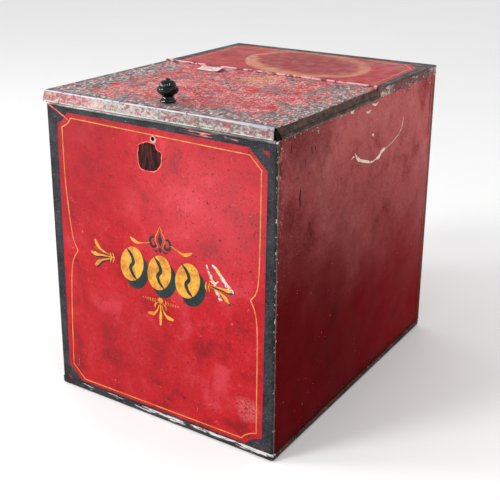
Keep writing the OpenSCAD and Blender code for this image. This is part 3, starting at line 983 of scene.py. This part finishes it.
def rear_top():
    x, y = OUT_X - FOLD_R, OUT_Y - FOLD_R
    front = REAR_EDGE + FOLD_R
    path = circuit([(x, front), (x, y), (-x, y), (-x, front)], 0, CELL, False)
    rows = folded(TOP_Z - FLANGE_Z, 0.0, FOLD_R, TOP_Z, -1)
    lip_half = -box_mm("left_collar")[0].x
    lip = [(front - FOLD_R * math.sin(a), TOP_Z - FOLD_R * (1 - math.cos(a))) for a in arc(90, 0, 5)]
    lip = [(REAR_EDGE, TOP_Z - REAR_LIP), *lip]
    ys = [i - len(lip) for i in range(len(lip) - 1)] + steps(front, y, CELL)
    bm = belt(path, lambda k: rows, flip=True)
    grid(steps(-x, x, CELL, (-lip_half, lip_half)), ys,
         lambda u, v: (u, *lip[int(v) + len(lip)]) if v < 0 else top_point(u, v),
         lambda u, v: v < 0 and abs(u) > lip_half, bm=bm)
    mesh = formed(bm, [REAR_RED, INSIDE_TIN], SHEET, 1)
    piece("rear_top_sheet", mesh, "bin", ["rear_top"])


def lid_bulge(x, y):
    near_knob = ease((math.hypot(x, y - KNOB_Y) - 14) / 40)
    edge = fade(x, -HALF_W, HALF_W, 45) * fade(y, -HALF_D, HINGE_Y, 45) * near_knob
    return edge * (-0.5 + 1.0 * ripple(x, y, 90, 6.6))


def corner_pull(y):
    """How far the right fold is knocked in towards the front corner, which opens the notch."""
    return 1.6 * ease((-HALF_D + 60 - y) / 62)


def lid_pan():
    fold_x, fold_y = LID_HALF_W - FOLD_R, -(HALF_D + LID_FRONT_GAP) + FOLD_R
    roll_front, roll_foot = HINGE_Y - 2.75, HINGE_Y - 2
    side_flare, front_flare = lid_high.x - fold_x - FOLD_R, fold_y - FOLD_R - lid_low.y
    edges = [s * STRAP_X + t * NOTCH_HALF for s in (-1, 1) for t in (-1, 1)]
    xs = steps(-fold_x, fold_x, CELL, (*edges, fold_x - CORNER_NOTCH))
    ys = steps(fold_y, HINGE_Y - 4, CELL, (fold_y + 1,))

    def pulled(x, y):
        return x - corner_pull(y) * ease((x - fold_x + 60) / 60)

    left = [(-fold_x, y, 180) for y in ys[::-1]]
    left += turn(-fold_x, fold_y, 180, 270)[1:]
    left += [(pulled(x, fold_y), fold_y, 270) for x in xs[1:-1]]
    right = [(pulled(fold_x, y), y, 0) for y in ys[1:]]

    def profile_of(path, side):
        def profile(k):
            x, y, degrees = path[k]
            turned = abs(math.sin(math.radians(degrees)))
            flare = side_flare + (front_flare - side_flare) * turned
            slack = 0.5 * (1 + ripple(x, y, 35, 3.3 + side))
            if side:
                flare += corner_pull(y)
                slack *= ease((y - fold_y) / 40)
            return folded(TOP_Z - lid_low.z, flare - slack * 0.6, FOLD_R, TOP_Z, -1, HEM_DEPTH)
        return profile

    bm = belt(left, profile_of(left, 0), flip=True)
    belt(right, profile_of(right, 1), flip=True, bm=bm)
    for vert in bm.verts:
        if vert.co.x > (fold_x - 2.2) * MM and vert.co.y > (fold_y + 0.9) * MM:
            lean = 0.36 * ease((-HALF_D + 24 - vert.co.y / MM) / 24)
            vert.co.y += lean * (TOP_Z * MM - vert.co.z)
    turns = round_points(HINGE_Y, HINGE_Z, WIRE_R + WIRE_GAP, arc(-90, 200, 20))
    ys += [roll_front, roll_foot, *(CURL + i for i in range(len(turns)))]

    def point(x, v):
        if v >= CURL:
            return (x, *turns[v - CURL])
        return (pulled(x, v), v, TOP_Z + lid_bulge(x, v))

    grid(xs, ys, point, lambda x, v: v > roll_front and abs(abs(x) - STRAP_X) < NOTCH_HALF,
         lambda x, v: 2 if v > roll_foot else 0, bm=bm)
    mesh = formed(bm, [LID_RED, LID_INSIDE, LID_INSIDE, LID_RED], SHEET, 1)
    piece("lid_sheet", mesh, "lid", ["lid_pan"])


def hinge_strap(name):
    """A painted strip wrapped over the hinge wire, with its tail on the fixed top."""
    low, high = box_mm(name)
    eye = (high.z - low.z) / 2
    strip_t = eye - WIRE_R
    loop = round_points(HINGE_Y, HINGE_Z, eye, arc(-55, -320, 26))
    tail = [(loop[-1][0] + reach, TOP_Z + strip_t + rise)
            for reach, rise in ((2.6, 0.25), (4.4, 0.0), (7.0, 0.0))]
    path = [*loop, *tail, (high.y, TOP_Z + strip_t)]

    def point(x, k):
        y, z = path[k]
        return (x, y, z + (max(0.0, 0.25 * ripple(x, y, 9, 2.2)) if k >= len(loop) else 0.0))

    bm = grid(steps(low.x, high.x, 3, ((low.x + high.x) / 2,)), range(len(path)), point)
    piece(name + "_strip", formed(bm, [STRAP_PAINT], strip_t), "bin", [name])


def hinge_leaf():
    """Thin tin leaf soldered on the lid before the left strap, with a black tongue at its end."""
    leaf_t, air = 0.4, 0.02
    front, rear = -4, 23.5
    rear_end, skew, length = -68, 8, 37
    bent_from, bent_up = 0.78, 1.1
    tongue_w, tongue_reach, overlap = 20, 8.3, 0.2

    def on_lid(x, y, rise=0.0):
        return (x, y, TOP_Z + max(0.0, lid_bulge(x, y)) + leaf_t + air + rise)

    def end_x(y):
        return rear_end + skew * (rear - y) / (rear - front)

    def leaf(u, v):
        bend = ease((u - bent_from) / (1 - bent_from))
        return on_lid(end_x(v) - length * (1 - u), v, bent_up * bend)

    def tongue(u, v):
        y = front - 0.5 + tongue_w * v
        reach = overlap + tongue_reach * min(v / 0.78, (1.02 - v) / 0.24)
        return on_lid(end_x(y) - overlap + reach * u, y)

    bm = grid(steps(0, 1, 0.055), steps(front, rear, 3.5), leaf)
    grid(steps(0, 1, 0.5), steps(0, 1, 0.13), tongue, None, lambda u, v: 2, bm=bm)
    mesh = formed(bm, [PATCHED_TIN, LID_INSIDE, BLACK_PAINT], leaf_t, 1)
    piece("left_hinge_leaf", mesh, "lid")


front_panel()
side_panel("left_side_panel", -1)
side_panel("right_side_panel", 1)
back_panel()
base_pan()
rear_top()
lid_pan()
hinge_strap("left_hinge_strap")
hinge_strap("right_hinge_strap")
hinge_leaf()


# ---------------------------------------------------------------- painted decoration


def cut_corners(corners, cuts, sides=((), (), (), ())):
    """Outline round four corners. Each cut is its length before and after the corner, and how far
    it bows in, from 0 for a chamfer to 1 for a quarter round. sides hold the points that follow."""
    outline = []
    for i, (corner_at, (length_in, length_out, bow)) in enumerate(zip(corners, cuts)):
        here = Vector(corner_at)
        before = (Vector(corners[i - 1]) - here).normalized() * length_in
        after = (Vector(corners[(i + 1) % 4]) - here).normalized() * length_out
        for a in arc(0, 90, 8 if bow else 1):
            t = a / (math.pi / 2)
            back_share = (1 - bow) * (1 - t) + bow * math.cos(a)
            on_share = (1 - bow) * t + bow * math.sin(a)
            outline.append(tuple(here + before * back_share + after * on_share))
        outline += sides[i]
    return outline


def offset(path, distances, closed=False):
    """The path moved sideways by a distance at each point."""
    moved = []
    count = len(path)
    for i, at in enumerate(path):
        here = Vector(at)
        before = here - Vector(path[i - 1]) if closed or i else None
        after = Vector(path[(i + 1) % count]) - here if closed or i < count - 1 else None
        first = (before or after).normalized()
        last = (after or before).normalized()
        middle = (first + last).normalized()
        reach = distances[i] / max(0.45, middle.dot(last))
        moved.append((here.x - middle.y * reach, here.y + middle.x * reach))
    return moved


def widths_along(path, widths):
    """Spreads a short list of widths evenly along the path's points."""
    found = []
    for i in range(len(path)):
        t = i / (len(path) - 1) * (len(widths) - 1)
        k = min(int(t), len(widths) - 2)
        found.append(widths[k] + (widths[k + 1] - widths[k]) * ease(t - k))
    return found


def stroke(points, widths, per_span=7):
    """Outline of a brush stroke along a smooth curve, its width going through widths."""
    path = smooth(points, per_span)
    half = [w / 2 for w in widths_along(path, widths)]
    return offset(path, half) + offset(path, [-h for h in half])[::-1]


def ragged(loop, amount, size=3.0):
    """The loop with its points moved about by up to amount, as a torn edge."""
    return [(a + amount * ripple(a, b, size, 1.5), b + amount * ripple(a, b, size, 9.5))
            for a, b in loop]


def band(path, width):
    """The two loops of a closed line of even width."""
    half = [width / 2] * len(path)
    return [offset(path, half, True), offset(path, [-h for h in half], True)]


def add_paint(bm, loops, place, coats):
    """Adds a thin closed layer filling the loops. place(a, b, lift) sets it on a surface."""
    curve = bpy.data.curves.new("outline", "CURVE")
    curve.dimensions = "2D"
    curve.fill_mode = "BOTH"
    curve.extrude = (coats * PAINT_T + PAINT_SINK) / 2
    for loop in loops:
        spline = curve.splines.new("POLY")
        spline.points.add(len(loop) - 1)
        for point, (a, b) in zip(spline.points, loop):
            point.co = (a, b, 0, 1)
        spline.use_cyclic_u = True
    flat = solid_of(linked("outline", curve))
    part = bmesh.new()
    part.from_mesh(flat)
    bpy.data.curves.remove(curve)
    bpy.data.meshes.remove(flat)
    bmesh.ops.remove_doubles(part, verts=part.verts, dist=1e-4)
    for axis in (0, 1):
        normal = Vector((1 - axis, axis, 0))
        values = [v.co[axis] for v in part.verts]
        at = math.floor(min(values) / PAINT_CELL) * PAINT_CELL + PAINT_CELL
        while at < max(values):
            bmesh.ops.bisect_plane(part, geom=[*part.verts, *part.edges, *part.faces], dist=1e-5,
                                   plane_co=normal * at, plane_no=normal)
            at += PAINT_CELL
    bmesh.ops.dissolve_degenerate(part, edges=part.edges, dist=2e-3)
    for v in part.verts:
        lift = v.co.z + (coats * PAINT_T - PAINT_SINK) / 2
        v.co = Vector(place(v.co.x, v.co.y, lift)) * MM
    bmesh.ops.recalc_face_normals(part, faces=part.faces)
    if part.calc_volume(signed=True) < 0:
        bmesh.ops.reverse_faces(part, faces=part.faces)
    done = mesh_of(part)
    bm.from_mesh(done)
    bpy.data.meshes.remove(done)


def painted(name, shapes, material, place=front_point, coats=1.0):
    """One painted piece made of several shapes, each a list of loops."""
    bm = bmesh.new()
    for loops in shapes:
        add_paint(bm, loops, place, coats)
    piece(name, mesh_of(bm, [material]), "bin")


def torn(strokes, per_span, amount, size):
    """A shape for each (points, widths) stroke, with ragged edges."""
    return [[ragged(stroke(points, widths, per_span), amount, size)] for points, widths in strokes]


# Widths along a short tick of the brush
TICK = (0.8, 1.9, 0.8)


def disc(x, z, rx, rz, tilt=0.0, count=28):
    """Loop of an ellipse."""
    c, s = math.cos(math.radians(tilt)), math.sin(math.radians(tilt))
    return [(x + rx * math.cos(a) * c - rz * math.sin(a) * s,
             z + rx * math.cos(a) * s + rz * math.sin(a) * c) for a in arc(0, 360, count)[:-1]]


def front_border():
    edge = HALF_W - SHEET - FRONT_BEND
    outer = [(-edge, 6), (-edge, RIM_Z - 3), (edge, RIM_Z - 3), (edge, 6)]
    inner = cut_corners([(-159, 406), (165.5, 403.5), (161.4, 13), (-163.6, 14)],
                        [(17, 18, 0.4), (26, 25, 0), (15, 24, 0.55), (22, 20, 0)])
    painted("front_border", [[outer, inner]], BLACK_PAINT)
    gaps = [[[(158.6, 402.4), (167.4, 403.2), (167.5, 395.2)]],
            [[(-165, 17), (-159, 11.6), (-166, 9)]],
            [disc(162.5, 12.5, 1.6, 1.0)]]
    painted("red_gaps", gaps, FRONT_RED, coats=1.5)
    gash = stroke([(-175.8, 413.6), (-164, 408.6), (-152, 402.6), (-140, 396.6)],
                  [1.0, 1.9, 1.5, 1.9, 0.8])
    painted("corner_gash", [[ragged(gash, 0.5)]], TOUCH_RED, coats=2.5)


def front_stripe():
    right = smooth([(156.8, 372), (156.3, 300), (153.8, 234), (143.8, 214)])
    right += smooth([(143.8, 214), (151, 196), (153.6, 160), (153.3, 44)])[1:]
    left = smooth([(-155, 44), (-151.6, 134), (-146.3, 192), (-134.5, 215)])
    left += smooth([(-134.5, 215), (-143.5, 238), (-150.4, 310), (-150.9, 378)])[1:]
    path = cut_corners([(-151, 399.4), (157.8, 394.4), (153.3, 19), (-155.4, 18)],
                       [(14, 16, 0.45), (17, 16, 0), (14, 22, 0.5), (21, 19, 0)],
                       ([], right, [], left))
    painted("front_stripe", [band(path, 1.35)], STRIPE)


def mirrored(points, x):
    return [(2 * x - a, b) for a, b in points]


def scar():
    """The dark patch under the hole, with a fresh red rim."""
    edge = smooth([(-21.9, 381), (-11, 386), (2, 385.5), (6, 378.5), (12.6, 376), (12.4, 363.5),
                   (4.4, 352.5), (-10.6, 350.2), (-20.6, 353), (-23.6, 366), (-21.9, 381)], 6)[:-1]
    rim = offset(edge, [1.3 + 0.9 * ripple(a, b, 8, 3.7) for a, b in edge], True)
    painted("scar_rim", [[ragged(rim, 0.8)]], TOUCH_RED, coats=0.7)
    painted("scar", [[ragged(edge, 1.3)]], SCAR)


def beans():
    """Three slanted coffee beans with a drop shadow each, in a row."""
    spots = [(-40, 218), (5, 216), (50, 216)]
    shade_shift = (8.5, -9.5)
    rx, rz, tilt = 18.5, 25.0, -20
    faces, shadows, creases, glints = [], [], [], []
    stages = (0.35, 0.7, 1.0)
    for x, z in spots:
        faces.append([disc(x, z, rx, rz, tilt, 48)])
        for k in stages:
            shadows.append([disc(x + shade_shift[0] * k, z + shade_shift[1] * k, rx, rz, tilt, 48)])
        crease = [(-9.5, 22), (-1, 13), (2.5, 3), (-2.5, -5), (1, -14), (9.5, -22)]
        creases.append([stroke([(x + a, z + b) for a, b in crease], [0.8, 4.6, 5.2, 5.2, 4.4, 0.8])])
        glints.append([stroke([(x - 14, z + 4), (x - 12, z + 13), (x - 6, z + 20)], [0.4, 1.6, 0.4])])
    for i in range(len(stages)):
        painted("bean_shadow_%d" % (i + 1), shadows[i::len(stages)], GREEN,
                coats=1.0 + 0.15 * i)
    painted("bean_faces", faces, YELLOW, coats=2)
    painted("bean_creases", creases, GREEN, coats=3)
    painted("bean_glints", glints, STRIPE, coats=2.6)


def sprigs():
    """A spray of three petals on each side of the beans, the right one half scraped away."""
    petals = [[(-76, 222), (-86, 223.6), (-96, 228.6), (-103, 239)],
              [(-76, 219.5), (-90, 218.6), (-100, 218), (-110.5, 219.4)],
              [(-76, 217), (-88.5, 212.8), (-97, 208), (-103.6, 201)]]
    widths = [1.2, 1.6, 3.0, 5.4, 2.8]
    ties = [[stroke([(x, 212.5), (x + 1.8, 219), (x, 225.5)], TICK)] for x in (-77, -72.5)]
    ties += [[stroke([(-79, 219.5), (-74, 219.5), (-69.5, 219)], [1.2, 1.6, 1.0])]]

    def below(petal):
        return [(a + 1.6, b - 2.2) for a, b in petal]

    painted("left_sprig_shadow", [[stroke(below(p), widths)] for p in petals], GREEN)
    painted("left_sprig", [[stroke(p, widths)] for p in petals] + ties, YELLOW,
            coats=2)
    axis = 4.5
    far = [mirrored(p, axis) for p in petals]
    ties = [[stroke([(x, 209.5), (x - 1.8, 216), (x, 222.5)], TICK)] for x in (79.5, 84)]
    painted("right_sprig_shadow", [[stroke(below(p), widths)] for p in far[1:]], GREEN)
    painted("right_sprig", [[stroke(far[1], widths)], [stroke(far[2], widths)]] + ties, YELLOW,
            coats=2)
    scrapes = [([(79.5, 245), (83, 235), (88, 227), (93, 220)], [1.5, 3.5, 4, 2.5]),
               ([(88, 247), (96, 240.5), (103.5, 232), (112, 223), (119.5, 217)], [2, 4, 5, 5, 2]),
               ([(92, 214), (97, 209), (101, 202)], [1, 4, 5]),
               ([(84, 224), (92, 223), (98, 227)], [1, 3, 1])]
    painted("scraped_sprig", torn(scrapes, 10, 1.5, 2.4), SCRAPED, coats=2.2)


def bud():
    """The bud over the beans, with scrolls and two tendrils."""
    x = 7.6
    kernel = stroke([(x, 252.5), (x, 261), (x, 272)], [1, 7.0, 0.6])
    petal = stroke([(x - 3.5, 250), (x - 7.6, 262), (x - 3.5, 272), (x, 279.5)], [0.7, 1.0, 1.0, 0.8])
    scroll = [(x - 7, 263.5), (x - 13.5, 263), (x - 16.5, 256.5), (x - 12.5, 250.5), (x - 7, 252.5),
              (x - 8, 257.5)]
    small = [(x - 3, 248), (x - 7, 245), (x - 12.5, 246.5)]
    dark = [[kernel], [disc(x, 247.6, 2.6, 3.4)]]
    light = [[petal], [mirrored(petal, x)]]
    for curl, hook in ((scroll, small), (mirrored(scroll, x), mirrored(small, x))):
        dark.append([stroke(curl, [0.8, 3.4, 4.2, 4.0, 3.4, 2.8])])
        dark.append([stroke(hook, [1.2, 2.4, 0.8])])
    vines = [[(x - 16, 255), (x - 29, 251.4), (x - 39, 250.4), (x - 49, 255)],
             [(x + 17, 257), (x + 28, 253), (x + 38, 250), (x + 50, 255)]]
    light += [[stroke(vine, [0.8, 1.1, 2.4, 5.0, 2.2])] for vine in vines]
    painted("bud_scrolls", dark, GREEN)
    painted("bud_petals", light, YELLOW, coats=2)


def pendant():
    """The small flower hanging below the beans, with a row of ticks on each side."""
    x, z = 6.0, 177.5
    parts = [[disc(x, z, 4.2, 3.8)],
             [stroke([(x, z - 5), (x + 0.2, z - 17), (x - 0.6, z - 35)], [0.9, 1.4, 4.8, 2.2])]]
    for side in (-1, 1):
        parts.append([stroke([(x + side * 2, z - 6), (x + side * 5, z - 14), (x + side * 11, z - 20.5),
                              (x + side * 21, z - 22)], [0.9, 1.4, 2.6, 5.2, 2.6])])
        parts.append([stroke([(x + side * 4, z - 3), (x + side * 8.5, z - 7), (x + side * 9, z - 12)],
                             [0.8, 1.8, 0.6])])
        for i in range(6):
            a = x + side * (8 + 3.9 * i)
            length = 6.6 - 0.9 * i
            top = z - 1.5 + length / 2
            parts.append([stroke([(a, top), (a + side * 1.1, top - length / 2), (a, top - length)],
                                 [0.5, 1.3, 0.5])])
    painted("pendant", parts, YELLOW, coats=1.6)


def side_point(y, z, lift):
    return (HALF_W + side_bulge(y, z, 1) + lift, y, z)


def side_marks():
    """The curved scratch and the larger chips on the right side."""
    lines = [([(-34, 357), (-25, 346), (-4, 338), (18, 332), (30, 334)], [1.0, 4.5, 3.5, 2.4, 1.0]),
             ([(26, 333), (38, 334), (48, 340), (63, 342)], [1.2, 5.0, 5.5, 1.0]),
             ([(64, 342), (84, 346.5), (101, 352.5), (112, 361), (116, 375)],
              [0.5, 0.9, 1.3, 1.0, 1.4]),
             ([(-36, 352), (-44, 351)], [3.0, 1.0]), ([(15, 371), (20, 369)], [3.0, 4.0]),
             ([(-4, 405), (3, 404), (8, 406)], [2.0, 3.0, 1.0]),
             ([(-52, 414), (-46, 413), (-42, 415)], [2.0, 4.0, 2.0]),
             ([(12, 413), (22, 410), (30, 412)], [2.0, 3.0, 1.0])]
    painted("side_scratches", torn(lines, 10, 1.3, 2.2), CREAM_CHIP, side_point)
    dark = [([(-174, 348), (-175.5, 336), (-174.6, 322)], [0.6, 4.0, 1.0]),
            ([(-166, 381), (-165, 374)], [2.2, 1.0]), ([(-150, 392), (-149, 383)], [2.6, 1.2]),
            ([(-142, 391), (-141, 386)], [2.4, 1.2]), ([(-199, 404), (-199, 396)], [1.6, 0.8])]
    painted("side_stains", torn(dark, 8, 0.8, 2.2), SCAR, side_point)


def rear_decor():
    edge = HALF_W - 0.6
    front, back_edge = REAR_EDGE + 1.4, HALF_D - 0.6
    outer = [(-edge, front), (-edge, back_edge), (edge, back_edge), (edge, front)]
    inner = [(170, front), (165.5, 184), (142, 213), (-155, 214), (-166, 200), (-163, front)]
    painted("rear_border", [[outer + inner]], BLACK_PAINT, top_point)
    path = [(162, 36), (158, 181), (138, 205), (-150, 206), (-158, 196), (-155, 36)]
    line = offset(path, [0.8] * len(path)) + offset(path, [-0.8] * len(path))[::-1]
    painted("rear_stripe", [[line]], FADED_STRIPE, top_point)


front_border()
front_stripe()
scar()
beans()
sprigs()
bud()
pendant()
side_marks()
rear_decor()


# ---------------------------------------------------------------- knob


def knob_radius(s):
    """Radius at the share s of the height: foot, waist, bowl, shoulder, dome and button."""
    if s < 0.04:
        return 0.375 * KNOB_D
    if s < 0.25:
        return (0.255 + 0.060 * (1 + math.cos((s - 0.04) / 0.21 * math.pi))) * KNOB_D
    if s < 0.50:
        return (0.255 + 0.245 * math.sin((s - 0.25) / 0.25 * math.pi / 2) ** 1.2) * KNOB_D
    if s < 0.58:
        return 0.5 * KNOB_D
    if s < 0.69:
        return (0.5 - 0.11 * ((s - 0.58) / 0.11) ** 1.6) * KNOB_D
    if s < 0.92:
        return 0.385 * KNOB_D * math.sqrt(1 - ((s - 0.69) / 0.245) ** 2)
    return 0.13 * KNOB_D * math.sqrt(max(0.0, 1 - ((s - 0.92) / 0.08) ** 2))


def knob():
    """Turned knob with a fluted dome."""
    flutes, flute_depth, flute_low, flute_high = 18, 1.3, 0.72, 0.91
    foot_round, seam_depth = 0.5, 0.35
    around = [math.tau * i / 180 for i in range(181)]
    heights = steps(0, 1, 0.0125, (0.006, 0.035, 0.255, 0.684, 0.696, 0.915, 0.925))

    def point(a, s):
        r = max(knob_radius(s), 0.01) - foot_round * fade(s, -0.008, 0.008, 0.008)
        r -= seam_depth * fade(s, 0.675, 0.705, 0.01)
        if flute_low < s < flute_high:
            groove = 1 - abs(math.sin(flutes * a / 2)) ** 0.7
            share = (s - flute_low) / (flute_high - flute_low)
            r -= flute_depth * groove * math.sin(share * math.pi)
        return (r * math.cos(a), KNOB_Y + r * math.sin(a), knob_low.z + s * KNOB_H)

    bm = grid(around, heights, point)
    bmesh.ops.remove_doubles(bm, verts=bm.verts, dist=0.02 * MM)
    bmesh.ops.holes_fill(bm, edges=[e for e in bm.edges if e.is_boundary], sides=0)
    bmesh.ops.recalc_face_normals(bm, faces=bm.faces)
    piece("turned_knob", formed(bm, [KNOB_BLACK], crisp=40), "lid", ["knob"])


def refinish(material, *nodes):
    """Gives CAD nodes that keep their own shape a better material."""
    for node in nodes:
        for slot in frame["nodes"][node].material_slots:
            slot.material = material


knob()
refinish(COLLAR_TIN, "front_collar", "left_collar", "right_collar")
refinish(WIRE_STEEL, "rim_wire", "hinge_wire", "knob_washer")
refinish(BRIGHT_TIN, "knob_screw")
refinish(SOLDER, "seam_solder", "base_solder")

# ---------------------------------------------------------------- camera, light and floor
FLOOR_HALF = 6
floor_mesh = bpy.data.meshes.new("floor")
floor_mesh.from_pydata([(FLOOR_HALF * x, FLOOR_HALF * y, 0) for x, y in
                        ((-1, -1), (1, -1), (1, 1), (-1, 1))], [], [(0, 1, 2, 3)])
floor = linked("floor", floor_mesh)
pale = Finish("pale_floor", roughness=0.9, specular=0.2)
pale.base = pale.mix(pale.noise(400), (246, 246, 246), (250, 250, 250))
floor_mesh.materials.append(pale.done())
# Just below the bin, so that the two never share a plane
floor.location.z = -0.0002


def soft_light(name, place, target, size, power, gloss_only=False):
    """A round area light. gloss_only keeps it to highlights."""
    light = bpy.data.lights.new(name, "AREA")
    light.shape = "DISK"
    light.size = size
    light.energy = power
    obj = linked(name, light)
    obj.location = place
    obj.visible_diffuse = not gloss_only
    obj.rotation_mode = "QUATERNION"
    obj.rotation_quaternion = (Vector(target) - obj.location).to_track_quat("-Z", "Y")


soft_light("key", (-1.2, -2.2, 2.2), (0, 0, 0.2), 0.9, 40)
soft_light("fill", (2.4, -0.6, 2.2), (0, 0, 0.2), 1.4, 10)
soft_light("glint", (-2.1, -1.45, 0.95), (0, -0.1, 0.4), 0.75, 30)
soft_light("window", (-2.0, -1.6, 1.0), (0, -0.1, 0.4), 0.55, 60, gloss_only=True)
soft_light("skylight", (-1.3, -2.2, 2.1), (0, -0.1, 0.4), 0.7, 60, gloss_only=True)

world = bpy.data.worlds.new("studio")
world.use_nodes = True
world.node_tree.nodes["Background"].inputs["Color"].default_value = (1, 1, 1, 1)
world.node_tree.nodes["Background"].inputs["Strength"].default_value = 0.8
bpy.context.scene.world = world
bpy.context.scene.view_settings.view_transform = "Standard"

# The photo's camera: degrees round, up and of roll, then in metres how far its aim is left of and
# above the bin's middle, and its distance
AZIMUTH, ELEVATION, ROLL = (math.radians(a) for a in (32.82, 18.35, 0.39))
AIM_LEFT, AIM_UP, DISTANCE = 0.00488, 0.04518, 1.347
back = Vector((math.sin(AZIMUTH) * math.cos(ELEVATION), -math.cos(AZIMUTH) * math.cos(ELEVATION),
               math.sin(ELEVATION)))
right = (-back).cross(Vector((0, 0, 1))).normalized()
up = right.cross(-back)
target = Vector((0, 0, TOP_Z / 2 * MM)) - right * AIM_LEFT + up * AIM_UP
camera_data = bpy.data.cameras.new("camera")
camera_data.lens = 65.6
camera_data.sensor_width = 36
camera_data.shift_y = -0.12
camera = linked("camera", camera_data)
camera.location = target + back * DISTANCE
camera.rotation_mode = "QUATERNION"
camera.rotation_quaternion = (-back).to_track_quat("-Z", "Y")
camera.rotation_quaternion.rotate(Quaternion(back, ROLL))
bpy.context.scene.camera = camera
